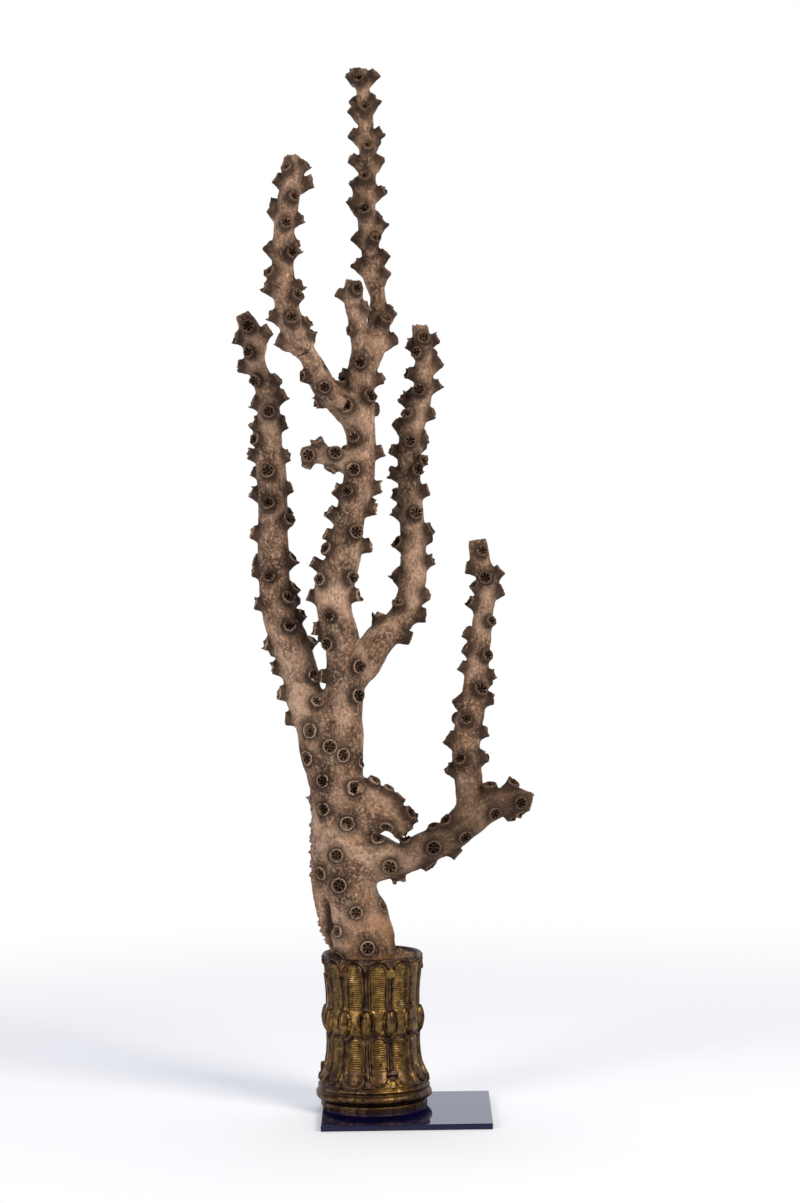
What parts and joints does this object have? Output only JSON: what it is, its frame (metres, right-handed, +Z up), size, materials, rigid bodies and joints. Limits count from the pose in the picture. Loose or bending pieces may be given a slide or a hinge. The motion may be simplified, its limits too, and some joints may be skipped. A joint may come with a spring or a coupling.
{
  "type": "cup coral colony in a gilt-bronze ferrule on a small acrylic plate",
  "caption": "Tall branching coral skeleton studded with cup corallites, held upright in a fluted gilt-bronze ferrule on a small square plate",
  "frame": {"origin": "middle of the plate's underside, on the surface the object stands on", "axes": "+Z up; -Y out of the front, the side the branches fan across; +X to the viewer's right"},
  "size_m": [0.1671, 0.1023, 0.6153],
  "materials": {
    "coral_skeleton": "dry matte limestone skeleton, brown, finely striated, with paler cup rims",
    "navy_acrylic": "polished dark blue acrylic sheet",
    "gilt_bronze": "cast bronze, old gilding worn and dark in the hollows",
    "setting_putty": "crumbly golden-brown setting compound",
    "dark_steel": "darkened slotted screws",
    "plug_brass": "plain brass, dulled"
  },
  "bodies": {
    "root": {"coral_trunk": "coral_skeleton", "coral_left_branch": "coral_skeleton", "coral_centre_stem": "coral_skeleton", "coral_shoulder_lobe": "coral_skeleton", "coral_low_limb": "coral_skeleton", "coral_upright_limb": "coral_skeleton", "coral_limb_end_stub": "coral_skeleton", "coral_right_branch": "coral_skeleton", "coral_side_stub": "coral_skeleton", "coral_upper_left_root": "coral_skeleton", "coral_upper_left_end": "coral_skeleton", "coral_front_stub": "coral_skeleton", "coral_top_branch": "coral_skeleton", "plate": "navy_acrylic", "ferrule": "gilt_bronze", "filler": "setting_putty", "screw_1": "dark_steel", "screw_2": "dark_steel", "screw_3": "dark_steel", "rim_plug_1": "plug_brass", "rim_plug_2": "plug_brass", "rim_plug_3": "plug_brass"}
  },
  "joints": []
}
